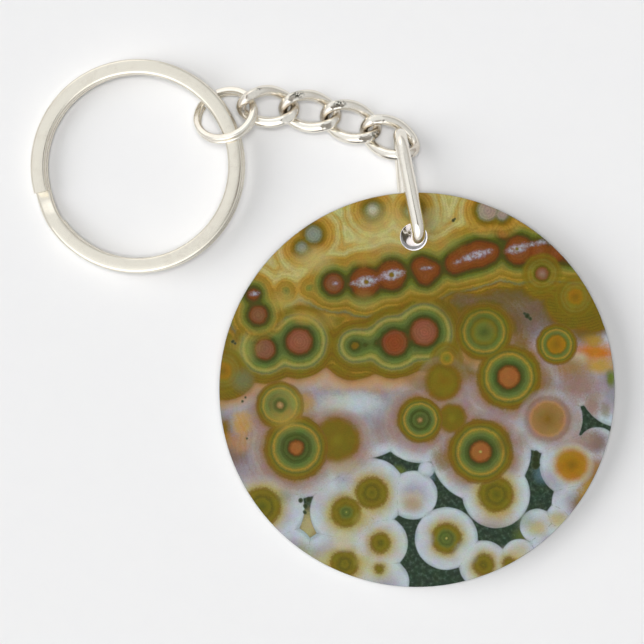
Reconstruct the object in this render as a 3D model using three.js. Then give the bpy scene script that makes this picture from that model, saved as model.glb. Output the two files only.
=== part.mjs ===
// Keychain lying flat: a round printed acrylic disc, an oval connector, four curb links,
// a jump ring and a split key ring. Millimetres, +Z up. The table is Z = 0 and the origin
// is the middle of the outline on the table. The chain leads away from the disc along +Y.

import * as THREE from 'three';

// Printed disc, cut from 3 mm acrylic sheet
const DISC_DIAMETER = 50.8;
const DISC_THICKNESS = 3.0;
const DISC_EDGE_BREAK = 0.15;
const DISC_SEGMENTS = 96;
const HOLE_DIAMETER = 3.4;
const HOLE_TO_RIM = 4.0;
const HOLE_SEGMENTS = 24;
const HOLE_BEARING_DEG = 91.3;
const DISC_TILT_DEG = 2.7;
const DISC_CENTRE = { x: 12.12, y: -8.52 };

// Oval connector: one turn of thick wire through the hole and through the last curb link,
// square-shouldered in the hole and round in the link
const CONNECTOR_WIRE = 1.8;
const CONNECTOR_LENGTH = 15.3;
const CONNECTOR_WIDTH = 7.5;
const CONNECTOR_SHOULDER_RADIUS = 1.9;
const CONNECTOR_NOSE_RADIUS = 2.55;
const CONNECTOR_HEADING_DEG = 98;
const CONNECTOR_LEAN_DEG = 6.5;
const CONNECTOR_SLOPE_DEG = -0.5;
const CONNECTOR_TWIST_DEG = 7.5;
const CONNECTOR_CENTRE = { x: 10.86, y: 17.42, z: 3.69 };

// Curb chain: four equal links, each twisted so that the chain lies flat
const LINK_WIRE = 1.3;
const LINK_LENGTH = 8.3;
const LINK_WIDTH = 5.4;
const LINK_END_RADIUS = 1.75;
const LINK_TWIST_DEG = 45;
const LINK_SPACING = 5.44;
const FIRST_LINK = { x: -7.0, y: 27.86 };

// How each link lies, from the jump ring to the connector: the chain hangs down from the
// jump ring to the table and rises again into the connector
const LINK_POSES = [
  { headingDeg: -2.5, slopeDeg: -12.5, rollDeg: 5, height: 2.95 },
  { headingDeg: -10, slopeDeg: -7, rollDeg: 0, height: 2.1 },
  { headingDeg: -19, slopeDeg: -1, rollDeg: -1, height: 1.85 },
  { headingDeg: -25.5, slopeDeg: 2, rollDeg: -2, height: 1.95 },
];

// Jump ring: thin flattened wire in two coils
const JUMP_RING = {
  diameter: 8.45,
  face: 0.9,
  coil: 0.58,
  coilGap: 0.1,
  startDeg: 112,
  levelDeg: 322,
  joggleDeg: 38,
  coilShift: 0,
};
const JUMP_CORNER = 0.26;
const JUMP_TILT_DEG = 36.5;
const JUMP_TILT_BEARING_DEG = -64;
const JUMP_CENTRE = { x: -12.48, y: 26.74, z: 3.0 };

// Split key ring: flat wire in two coils that lie on each other
const SPLIT_RING = {
  diameter: 27.6,
  face: 2.0,
  coil: 1.15,
  coilGap: 0.12,
  startDeg: 194.8,
  levelDeg: 339,
  joggleDeg: 21,
  coilShift: 0.08,
};
const RING_CORNER = 0.42;
const RING_TILT_DEG = 4.25;
const RING_CENTRE = { x: -23.81, y: 20.17 };

// How finely the wires are cut into faces
const WIRE_SIDES = 10;
const LINK_STEPS = 44;
const CONNECTOR_STEPS = 44;
const JUMP_STEPS = 72;
const RING_STEPS = 120;
const WIRE_END_GAP = 0.05;

const { degToRad, smoothstep } = THREE.MathUtils;

const chrome = { color: 0xd9d6cc, roughness: 0.16, metalness: 1.0 };
const print = { color: 0x9a8433, roughness: 0.2, metalness: 0.0 };

// A closed outline drawn tight round a list of circles that is given anticlockwise.
function belt(circles) {
  const leaving = circles.map((circle, i) => {
    const next = circles[(i + 1) % circles.length];
    const towards = Math.atan2(next.y - circle.y, next.x - circle.x);
    const apart = Math.hypot(next.x - circle.x, next.y - circle.y);
    return towards - Math.acos((circle.radius - next.radius) / apart);
  });
  const outline = new THREE.Path();
  circles.forEach((circle, i) => {
    const arriving = leaving.at(i - 1);
    outline.absarc(circle.x, circle.y, circle.radius, arriving, leaving[i], false);
  });
  return outline.closePath();
}

// A closed oval of four arcs, starting at the middle of its +Y side and running towards -X.
function fourArcOval(halfLength, halfWidth, endRadius) {
  const endCentre = halfLength - endRadius;
  const rise = halfWidth - endRadius;
  const sideCentre = (endCentre ** 2 - rise ** 2) / (2 * rise);
  const sideRadius = halfWidth + sideCentre;
  const join = Math.atan2(sideCentre, endCentre);
  const oval = new THREE.Path();
  oval.absarc(0, -sideCentre, sideRadius, Math.PI / 2, Math.PI - join, false);
  oval.absarc(-endCentre, 0, endRadius, Math.PI - join, Math.PI + join, false);
  oval.absarc(0, sideCentre, sideRadius, Math.PI + join, 2 * Math.PI - join, false);
  oval.absarc(endCentre, 0, endRadius, -join, join, false);
  oval.absarc(0, -sideCentre, sideRadius, join, Math.PI / 2, false);
  return oval;
}

// One loop of wire along an outline whose two ends are turned against each other about its
// length. The cut ends of the wire butt together with a hairline gap.
class TwistedLoop extends THREE.Curve {
  constructor(outline, halfLength, twistDeg) {
    super();
    this.outline = outline;
    this.halfLength = halfLength;
    this.twist = degToRad(twistDeg);
    this.gap = WIRE_END_GAP / outline.getLength();
  }

  getPoint(t, target = new THREE.Vector3()) {
    const along = this.gap / 2 + t * (1 - this.gap);
    const flat = this.outline.getPoint(along);
    const turn = (-this.twist * flat.x) / this.halfLength;
    return target.set(flat.x, flat.y * Math.cos(turn), flat.y * Math.sin(turn));
  }
}

// A ring of wire: a level upper coil, a joggle down, and a level lower coil, taken clockwise.
class CoiledRing extends THREE.Curve {
  constructor(ring) {
    super();
    this.ring = ring;
    this.radius = (ring.diameter - ring.face) / 2;
    this.rise = ring.coil + ring.coilGap;
  }

  getPoint(t, target = new THREE.Vector3()) {
    const { startDeg, levelDeg, joggleDeg, coilShift } = this.ring;
    const wound = t * (2 * levelDeg + joggleDeg);
    const drop = smoothstep(wound, levelDeg, levelDeg + joggleDeg);
    const angle = degToRad(startDeg - wound);
    const x = this.radius * Math.cos(angle) + coilShift * (drop - 0.5);
    return target.set(x, this.radius * Math.sin(angle), this.rise * (0.5 - drop));
  }

  // Keeps a flat wire's section upright all the way round.
  computeFrenetFrames(steps) {
    const frames = { tangents: [], normals: [], binormals: [] };
    for (let i = 0; i <= steps; i += 1) {
      const tangent = this.getTangentAt(i / steps);
      const across = new THREE.Vector3(tangent.y, -tangent.x, 0).normalize();
      frames.tangents.push(tangent);
      frames.binormals.push(across);
      frames.normals.push(new THREE.Vector3().crossVectors(across, tangent));
    }
    return frames;
  }
}

function roundSection(diameter) {
  const section = new THREE.Shape();
  section.absarc(0, 0, diameter / 2, 0, 2 * Math.PI, false);
  return section;
}

// Height runs along the section's own X, face width along its Y.
function flatSection(height, face, corner) {
  const x = height / 2;
  const y = face / 2;
  const section = new THREE.Shape();
  section.moveTo(x - corner, -y);
  section.absarc(x - corner, corner - y, corner, -Math.PI / 2, 0, false);
  section.absarc(x - corner, y - corner, corner, 0, Math.PI / 2, false);
  section.absarc(corner - x, y - corner, corner, Math.PI / 2, Math.PI, false);
  section.absarc(corner - x, corner - y, corner, Math.PI, 1.5 * Math.PI, false);
  return section;
}

function sweep(section, path, steps, curveSegments) {
  return new THREE.ExtrudeGeometry(section, { steps, curveSegments, extrudePath: path });
}

function part(name, geometry, finish) {
  const mesh = new THREE.Mesh(geometry, new THREE.MeshStandardMaterial(finish));
  mesh.name = name;
  return mesh;
}

// The disc lies on the far side of its rim and, at the hole, on the connector's wire.
function makeDisc() {
  const outline = new THREE.Shape();
  outline.absarc(0, 0, DISC_DIAMETER / 2, 0, 2 * Math.PI, false);
  const fromCentre = DISC_DIAMETER / 2 - HOLE_TO_RIM - HOLE_DIAMETER / 2;
  const hole = new THREE.Path();
  for (let i = 0; i < HOLE_SEGMENTS; i += 1) {
    const angle = (-2 * Math.PI * i) / HOLE_SEGMENTS;
    const x = (HOLE_DIAMETER / 2) * Math.cos(angle);
    const y = fromCentre + (HOLE_DIAMETER / 2) * Math.sin(angle);
    if (i === 0) hole.moveTo(x, y);
    else hole.lineTo(x, y);
  }
  hole.closePath();
  outline.holes.push(hole);
  const geometry = new THREE.ExtrudeGeometry(outline, {
    depth: DISC_THICKNESS - 2 * DISC_EDGE_BREAK,
    curveSegments: DISC_SEGMENTS / 2,
    bevelThickness: DISC_EDGE_BREAK,
    bevelSize: DISC_EDGE_BREAK,
    bevelOffset: -DISC_EDGE_BREAK,
    bevelSegments: 1,
  });
  geometry.translate(0, DISC_DIAMETER / 2, DISC_EDGE_BREAK);
  const disc = part('charm_disc', geometry, print);
  disc.rotation.set(degToRad(DISC_TILT_DEG), 0, degToRad(HOLE_BEARING_DEG - 90), 'ZYX');
  const rim = new THREE.Vector3(0, DISC_DIAMETER / 2, 0).applyEuler(disc.rotation);
  disc.position.set(DISC_CENTRE.x - rim.x, DISC_CENTRE.y - rim.y, 0);
  return disc;
}

// The connector stands on edge: its width is upright, and it leans more at the hole.
function makeConnector() {
  const halfLength = (CONNECTOR_LENGTH - CONNECTOR_WIRE) / 2;
  const halfWidth = (CONNECTOR_WIDTH - CONNECTOR_WIRE) / 2;
  const shoulder = {
    x: CONNECTOR_SHOULDER_RADIUS - halfLength,
    y: halfWidth - CONNECTOR_SHOULDER_RADIUS,
    radius: CONNECTOR_SHOULDER_RADIUS,
  };
  const nose = { x: halfLength - CONNECTOR_NOSE_RADIUS, y: 0, radius: CONNECTOR_NOSE_RADIUS };
  const outline = belt([{ ...shoulder, y: -shoulder.y }, nose, shoulder]);
  const path = new TwistedLoop(outline, halfLength, CONNECTOR_TWIST_DEG);
  const geometry = sweep(roundSection(CONNECTOR_WIRE), path, CONNECTOR_STEPS, WIRE_SIDES / 2);
  const connector = part('connector_link', geometry, chrome);
  const upright = degToRad(90 + CONNECTOR_LEAN_DEG);
  const slope = degToRad(CONNECTOR_SLOPE_DEG);
  connector.rotation.set(upright, -slope, degToRad(CONNECTOR_HEADING_DEG), 'ZYX');
  connector.position.copy(CONNECTOR_CENTRE);
  return connector;
}

function makeChain() {
  const chain = new THREE.Group();
  const halfLength = (LINK_LENGTH - LINK_WIRE) / 2;
  const oval = fourArcOval(halfLength, (LINK_WIDTH - LINK_WIRE) / 2, LINK_END_RADIUS);
  const centre = new THREE.Vector3(FIRST_LINK.x, FIRST_LINK.y, 0);
  LINK_POSES.forEach((pose, i) => {
    const heading = degToRad(pose.headingDeg);
    const halfStep = new THREE.Vector3(Math.cos(heading), Math.sin(heading), 0);
    halfStep.multiplyScalar(LINK_SPACING / 2);
    if (i > 0) centre.add(halfStep);
    const path = new TwistedLoop(oval, halfLength, LINK_TWIST_DEG);
    const geometry = sweep(roundSection(LINK_WIRE), path, LINK_STEPS, WIRE_SIDES / 2);
    const link = part(`chain_link_${i + 1}`, geometry, chrome);
    link.rotation.set(degToRad(pose.rollDeg), degToRad(-pose.slopeDeg), heading, 'ZYX');
    link.position.set(centre.x, centre.y, pose.height);
    chain.add(link);
    centre.add(halfStep);
  });
  return chain;
}

function makeJumpRing() {
  const section = flatSection(JUMP_RING.coil, JUMP_RING.face, JUMP_CORNER);
  const geometry = sweep(section, new CoiledRing(JUMP_RING), JUMP_STEPS, 3);
  const jumpRing = part('jump_ring', geometry, chrome);
  const bearing = degToRad(JUMP_TILT_BEARING_DEG);
  const tiltAxis = new THREE.Vector3(Math.sin(bearing), -Math.cos(bearing), 0);
  jumpRing.setRotationFromAxisAngle(tiltAxis, degToRad(JUMP_TILT_DEG));
  jumpRing.position.copy(JUMP_CENTRE);
  return jumpRing;
}

// The key ring rests on its left side, and the jump ring holds up its right side.
function makeSplitRing() {
  const section = flatSection(SPLIT_RING.coil, SPLIT_RING.face, RING_CORNER);
  const geometry = sweep(section, new CoiledRing(SPLIT_RING), RING_STEPS, 1);
  const splitRing = part('split_ring', geometry, chrome);
  const tilt = degToRad(RING_TILT_DEG);
  const halfHeight = SPLIT_RING.coil + SPLIT_RING.coilGap / 2;
  splitRing.rotation.set(0, -tilt, 0);
  const height = (SPLIT_RING.diameter / 2) * Math.sin(tilt) + halfHeight * Math.cos(tilt);
  splitRing.position.set(RING_CENTRE.x, RING_CENTRE.y, height);
  return splitRing;
}

const keychain = new THREE.Group();
keychain.add(makeSplitRing(), makeJumpRing(), makeChain(), makeConnector(), makeDisc());

// Stands the lowest point on the table and centres the outline on the origin.
keychain.updateMatrixWorld(true);
const outline = new THREE.Box3().setFromObject(keychain, true);
const middle = outline.getCenter(new THREE.Vector3());
keychain.position.set(-middle.x, -middle.y, -outline.min.z);
keychain.updateMatrixWorld(true);

export default keychain;
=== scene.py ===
"""Builds a keychain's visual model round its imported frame: a printed acrylic charm, an oval
connector, four curb links, a coiled jump ring and a split key ring, lying on a pale table."""

import math

import bpy
from mathutils import Euler, Matrix, Vector


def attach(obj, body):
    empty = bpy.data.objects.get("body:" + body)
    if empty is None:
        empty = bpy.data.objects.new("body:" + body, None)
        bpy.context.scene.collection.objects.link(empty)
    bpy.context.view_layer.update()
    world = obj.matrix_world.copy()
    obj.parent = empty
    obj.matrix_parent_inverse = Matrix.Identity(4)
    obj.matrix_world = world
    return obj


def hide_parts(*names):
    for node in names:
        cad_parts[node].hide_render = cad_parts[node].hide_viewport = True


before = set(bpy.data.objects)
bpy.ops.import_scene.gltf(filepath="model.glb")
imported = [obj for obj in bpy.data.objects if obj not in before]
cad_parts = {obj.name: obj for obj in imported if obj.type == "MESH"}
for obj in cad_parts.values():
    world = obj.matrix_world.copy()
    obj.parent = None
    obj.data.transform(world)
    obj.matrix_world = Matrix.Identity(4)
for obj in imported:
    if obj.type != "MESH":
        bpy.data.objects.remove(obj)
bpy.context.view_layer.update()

bl_info = {
    "name": "Keychain With Printed Charm", "version": (1, 0, 0), "blender": (4, 5, 0),
    "location": "View3D > Sidebar > Keychain",
    "description": "Adds the pieces of a keychain with a stone-pattern acrylic charm",
    "category": "Add Mesh",
}

MM = 0.001
TURN = 2 * math.pi

# Where the laid-out keychain stands in the frame, and where its pieces lie in the layout
LAYOUT_SHIFT = Vector((0.06939, 0.02477, -0.00707)) * MM
CHARM_PLACE = {"x": 12.12, "y": -8.52, "tilt": 2.7, "hole_bearing": 91.3}
CONNECTOR_PLACE = {"at": (10.86, 17.42, 3.69), "heading": 98, "lean": 6.5, "slope": -0.5}
FIRST_LINK = Vector((-7.0, 27.86, 0.0))
LINK_PLACES = [
    {"heading": -2.5, "slope": -12.5, "roll": 5, "height": 2.95},
    {"heading": -10, "slope": -7, "roll": 0, "height": 2.1},
    {"heading": -19, "slope": -1, "roll": -1, "height": 1.85},
    {"heading": -25.5, "slope": 2, "roll": -2, "height": 1.95},
]
JUMP_PLACE = {"at": (-12.48, 26.74, 3.0), "tilt": 36.5, "bearing": -64}
SPLIT_PLACE = {"x": -23.81, "y": 20.17, "tilt": 4.25}

# How each ring is wound: where its top coil ends, how far one coil and the step between the two
# coils reach, in degrees, and how far the step shifts the lower coil, in mm
JUMP_WINDING = {"start": 112, "level": 322, "joggle": 38, "shift": 0.0, "steps": 360}
SPLIT_WINDING = {"start": 194.8, "level": 339, "joggle": 21, "shift": 0.08, "steps": 560}

# The stage, in metres: the table's size and its place just under the keychain, the camera's
# distance from the middle line, the charm's printed face, and the dark card round the camera
TABLE_SIZE = 3.0
TABLE_DROP = 0.02 * MM
CAMERA_OFFSET = 0.1287 * MM
FACE_HEIGHT = 3.0 * MM
CARD_RADIUS = 0.085
CARD_PLACE = (0.05, 0.0, 0.47)
# The camera's sensor, in mm
SENSOR_WIDTH = 36.0

# Each soft light's setting, its spread in radians, and where it comes from
SOFT_LIGHTS = [
    ("key_light", 0.95, Vector((-1.3, 0.04, 1.06))), ("top_light", 0.35, Vector((0.0, 0.0, 1.0))),
]
# What the metal reflects: sides that brighten upwards and are dimmer on the right, and two
# brighter windows, each with its direction, the cosines at its rim and its middle, and its gain
SKY_LOW, SKY_HIGH = "d8d6d4", "fbfdff"
LEFT_GAIN, RIGHT_GAIN = 1.08, 0.8
WINDOWS = [((-0.2, -0.72, 0.66), 0.7, 0.93, 1.95), ((-0.42, 0.86, 0.29), 0.84, 0.96, 1.6)]


def length(name, note, default_mm):
    return bpy.props.FloatProperty(
        name=name, description=note, default=default_mm * MM, precision=5, unit="LENGTH"
    )


def turn(name, note, default_deg):
    return bpy.props.FloatProperty(
        name=name, description=note, default=math.radians(default_deg), unit="ROTATION"
    )


def share(name, note, default):
    return bpy.props.FloatProperty(
        name=name, description=note, default=default, min=0.0, max=1.0, subtype="FACTOR"
    )


def strength(name, note, default):
    return bpy.props.FloatProperty(name=name, description=note, default=default, min=0.0)


def colour(name, note, default_hex):
    return bpy.props.FloatVectorProperty(
        name=name, description=note, default=linear(default_hex)[:3], size=3, subtype="COLOR"
    )


def linear(hex_code):
    """A hex display colour as linear light, fully opaque."""
    values = [int(hex_code[i : i + 2], 16) / 255 for i in (0, 2, 4)]
    light = [v / 12.92 if v <= 0.04045 else ((v + 0.055) / 1.055) ** 2.4 for v in values]
    return (*light, 1.0)


class KeychainCharmSettings(bpy.types.PropertyGroup):
    diameter: length("Diameter", "Acrylic disc, side to side", 50.8)
    thickness: length("Thickness", "Acrylic disc and both printed faces", 3.0)
    hole: length("Hole", "Diameter of the hole for the connector", 3.4)
    hole_to_rim: length("Hole to Rim", "Acrylic between the hole and the rim", 4.0)
    edge_break: length("Edge Break", "Rounding of the cut edges", 0.04)
    rim_margin: length("Rim Margin", "Clear acrylic left round the print", 0.01)
    ink: length("Ink", "Thickness of each printed face", 0.04)


class KeychainConnectorSettings(bpy.types.PropertyGroup):
    length: length("Length", "End to end, outside", 15.3)
    width: length("Width", "Side to side, outside", 7.5)
    wire: length("Wire", "Wire diameter at the bends", 1.8)
    shoulder: length("Shoulder Radius", "Bends at the charm's end", 1.9)
    nose: length("Nose Radius", "Bend at the chain's end", 2.55)
    fullness: share("Fullness", "How much thicker the wire is at its sides", 0.01)
    twist: turn("Twist", "Turn of each end about the length", 7.5)


class KeychainChainSettings(bpy.types.PropertyGroup):
    length: length("Length", "One link, end to end, outside", 8.3)
    width: length("Width", "One link, side to side, outside", 5.4)
    wire: length("Wire", "Wire diameter at the bends", 1.3)
    fullness: share("Fullness", "How much thicker the wire is at a link's sides", 0.14)
    end_radius: length("End Radius", "Middle line of a link's ends", 1.75)
    spacing: length("Spacing", "From link to link", 5.44)
    twist: turn("Twist", "Turn of each end about the length", 45)
    facet: length("Facet", "How much is pressed off a link's high shoulders", 0.16)


class KeychainJumpRingSettings(bpy.types.PropertyGroup):
    diameter: length("Diameter", "Outside", 8.45)
    face: length("Face", "Width of the flattened wire's face", 0.9)
    coil: length("Coil", "Height of one coil", 0.58)
    coil_gap: length("Coil Gap", "Space between the coils", 0.1)
    corner: length("Corner", "Rounding of the wire's edges", 0.27)


class KeychainSplitRingSettings(bpy.types.PropertyGroup):
    diameter: length("Diameter", "Outside", 27.6)
    face: length("Face", "Width of the flat wire's face", 2.0)
    coil: length("Coil", "Height of one coil", 1.15)
    coil_gap: length("Coil Gap", "Space between the coils", 0.12)
    corner: length("Corner", "Rounding of the flat wire's edges", 0.42)


class KeychainFinishSettings(bpy.types.PropertyGroup):
    plating: colour("Ring Plating", "Nickel plating of the key ring", "e6e0d2")
    chain_plating: colour("Chain Plating", "Nickel plating of the chain and its loops", "f2ede2")
    # This darker colour is laid on as tarnished patches, and at the links' bends, where they cross, as
    # painted shade
    tarnish_and_shade: colour("Tarnish", "Plating in corners and crossings", "a08468")
    table: colour("Table", "Table top", "f0f0f0")


class KeychainStageSettings(bpy.types.PropertyGroup):
    camera_height: length("Camera Height", "Camera above the table", 450.0)
    view_width: length("View Width", "Width seen at the charm's face", 82.88)
    key_light: strength("Key Light", "Soft light from the left", 2.1)
    top_light: strength("Top Light", "Soft light from straight above", 1.72)
    surroundings: strength("Surroundings", "Brightness of what the metal reflects", 0.95)


# ---------------------------------------------------------------- paths and places


def arc(x, y, radius, start, end, steps=64):
    """Points on a circle's arc, in the XY plane."""
    angles = [start + (end - start) * i / steps for i in range(steps + 1)]
    return [Vector((x + radius * math.cos(a), y + radius * math.sin(a))) for a in angles]


def even(points, count):
    """The same closed outline as count points, evenly spaced along it."""
    ring = [p for i, p in enumerate(points) if (p - points[i - 1]).length > 1e-9]
    steps = [(ring[(i + 1) % len(ring)] - p).length for i, p in enumerate(ring)]
    spacing = sum(steps) / count
    result, i, passed = [], 0, 0.0
    for k in range(count):
        while passed + steps[i] < k * spacing:
            passed += steps[i]
            i += 1
        portion = (k * spacing - passed) / steps[i]
        result.append(ring[i].lerp(ring[(i + 1) % len(ring)], portion))
    return result


def four_arc_oval(half_length, half_width, end_radius):
    """A closed oval outline of two long and two short arcs that meet smoothly."""
    centre = half_length - end_radius
    rise = half_width - end_radius
    side = (centre**2 - rise**2) / (2 * rise)
    radius = half_width + side
    join = math.atan2(side, centre)
    return (
        arc(0, -side, radius, math.pi / 2, math.pi - join)
        + arc(-centre, 0, end_radius, math.pi - join, math.pi + join)
        + arc(0, side, radius, math.pi + join, TURN - join)
        + arc(centre, 0, end_radius, -join, join)
        + arc(0, -side, radius, join, math.pi / 2)
    )


def belt(circles):
    """A closed outline drawn tight round (x, y, radius) circles, given anticlockwise."""
    leaving = []
    for (x, y, radius), (next_x, next_y, next_radius) in zip(circles, circles[1:] + circles[:1]):
        towards = math.atan2(next_y - y, next_x - x)
        apart = math.hypot(next_x - x, next_y - y)
        leaving.append(towards - math.acos((radius - next_radius) / apart))
    outline = []
    for i, (x, y, radius) in enumerate(circles):
        bend = (leaving[i] - leaving[i - 1]) % TURN
        outline += arc(x, y, radius, leaving[i] - bend, leaving[i])
    return outline


def twisted(outline, half_length, twist):
    """A flat outline with its two ends turned against each other about X."""
    points = []
    for p in outline:
        angle = -twist * p.x / half_length
        points.append(Vector((p.x, p.y * math.cos(angle), p.y * math.sin(angle))))
    return points


def coils(ring, start, level, joggle, shift, steps):
    """The middle line of a ring's wire in two coils, clockwise from the top one's end."""
    radius = (ring.diameter - ring.face) / 2
    rise = ring.coil + ring.coil_gap
    start, level, joggle = (math.radians(angle) for angle in (start, level, joggle))
    points = []
    for i in range(steps + 1):
        wound = (2 * level + joggle) * i / steps
        along = min(max((wound - level) / joggle, 0.0), 1.0)
        drop = along * along * (3 - 2 * along)
        angle = start - wound
        x = radius * math.cos(angle) + shift * MM * (drop - 0.5)
        points.append(Vector((x, radius * math.sin(angle), rise * (0.5 - drop))))
    return points


def at(x, y, z):
    """A place in the layout, in mm, as a move in the frame."""
    return Matrix.Translation(Vector((x, y, z)) * MM + LAYOUT_SHIFT)


def turned(x_deg, y_deg, z_deg):
    angles = [math.radians(a) for a in (x_deg, y_deg, z_deg)]
    return Euler(angles, "XYZ").to_matrix().to_4x4()


# ---------------------------------------------------------------- working with bpy.ops


def select_only(obj):
    bpy.ops.object.select_all(action="DESELECT")
    obj.select_set(True)
    bpy.context.view_layer.objects.active = obj


def named(obj, name):
    obj.name = name
    obj.data.name = name
    return obj


def put(obj, place):
    """Moves a finished mesh to its place and leaves the object at the origin."""
    select_only(obj)
    obj.matrix_world = place
    bpy.ops.object.transform_apply(location=True, rotation=True, scale=True)


def modified(obj, kind, **settings):
    select_only(obj)
    modifier = obj.modifiers.new(kind.title(), kind)
    for key, value in settings.items():
        setattr(modifier, key, value)
    bpy.ops.object.modifier_apply(modifier=modifier.name)


def smooth(obj, angle_deg=32):
    select_only(obj)
    bpy.ops.object.mode_set(mode="EDIT")
    bpy.ops.mesh.select_all(action="SELECT")
    bpy.ops.mesh.remove_doubles(threshold=0.002 * MM)
    bpy.ops.mesh.normals_make_consistent(inside=False)
    bpy.ops.object.mode_set(mode="OBJECT")
    bpy.ops.object.shade_smooth_by_angle(angle=math.radians(angle_deg))


def path(points):
    """A new curve object with one spline of straight steps through the points."""
    bpy.ops.object.select_all(action="DESELECT")
    bpy.ops.curve.primitive_nurbs_path_add()
    curve = bpy.context.object.data
    curve.splines.clear()
    spline = curve.splines.new("POLY")
    spline.points.add(len(points) - 1)
    for knot, point in zip(spline.points, points):
        knot.co = (*point.to_3d(), 1.0)
    return bpy.context.object, curve, spline


def wire(name, points, radii, sides=9):
    """A closed loop of round wire along a middle line, bent as a curve and turned into a mesh."""
    _, curve, spline = path(points)
    for knot, radius in zip(spline.points, radii):
        knot.radius = radius / radii[0]
    spline.use_cyclic_u = True
    curve.twist_mode = "MINIMUM"
    curve.bevel_depth = radii[0]
    curve.bevel_resolution = sides
    curve.use_fill_caps = False
    bpy.ops.object.convert(target="MESH")
    return named(bpy.context.object, name)


def twisted_link(name, outline, link, ease):
    """A closed link of round wire with its ends turned against each other and fuller sides."""
    half_length = (link.length - link.wire) / 2
    middle = twisted(outline, half_length, link.twist)
    fuller = [link.fullness * (1 - (p.x / half_length) ** 2) ** ease for p in middle]
    return wire(name, middle, [link.wire / 2 * (1 + more) for more in fuller])


def flat_wire(name, points, height, face, corner):
    """Flat wire with rounded edges, kept upright along a middle line."""
    x, y = face / 2 - corner, height / 2 - corner
    quarter = math.pi / 2
    outline = []
    for i, (side, level) in enumerate(((x, -y), (x, y), (-x, y), (-x, -y))):
        outline += arc(side, level, corner, (i - 1) * quarter, i * quarter, 5)
    section, flat, spline = path(outline)
    flat.dimensions = "2D"
    spline.use_cyclic_u = True

    _, curve, _ = path(points)
    curve.twist_mode = "Z_UP"
    curve.bevel_mode = "OBJECT"
    curve.bevel_object = section
    curve.use_fill_caps = True
    bpy.ops.object.convert(target="MESH")
    ring = named(bpy.context.object, name)
    bpy.data.objects.remove(section)
    return ring


def coiled(name, ring, winding):
    """A ring of flat wire, wound to its settings."""
    return flat_wire(name, coils(ring, **winding), ring.coil, ring.face, ring.corner)


def press(obj, height, left=0.06):
    """Presses what stands above height or below -height down to a share of its rise."""
    for side in (1, -1):
        select_only(obj)
        for vertex in obj.data.vertices:
            vertex.select = vertex.co.z * side > height
        for edge in obj.data.edges:
            edge.select = all(obj.data.vertices[v].select for v in edge.vertices)
        for face in obj.data.polygons:
            face.select = all(obj.data.vertices[v].select for v in face.vertices)
        bpy.ops.object.mode_set(mode="EDIT")
        bpy.ops.mesh.select_mode(type="VERT")
        bpy.ops.transform.resize(value=(1.0, 1.0, left), center_override=(0.0, 0.0, side * height))
        bpy.ops.object.mode_set(mode="OBJECT")


def annulus(name, radius, hole_radius, hole_y, rim_steps=256, hole_steps=72):
    """A flat round face with a round hole near its rim, at Z = 0."""
    bpy.ops.object.select_all(action="DESELECT")
    bpy.ops.mesh.primitive_circle_add(vertices=rim_steps, radius=radius)
    obj = named(bpy.context.object, name)
    bpy.ops.object.mode_set(mode="EDIT")
    bpy.ops.mesh.primitive_circle_add(
        vertices=hole_steps, radius=hole_radius, location=(0.0, hole_y, 0.0)
    )
    bpy.ops.mesh.select_all(action="SELECT")
    bpy.ops.mesh.fill(use_beauty=True)
    bpy.ops.mesh.normals_make_consistent(inside=False)
    obj.update_from_editmode()
    if obj.data.polygons[0].normal.z < 0:
        bpy.ops.mesh.flip_normals()
    bpy.ops.object.mode_set(mode="OBJECT")
    return obj


# ---------------------------------------------------------------- shader building


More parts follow.
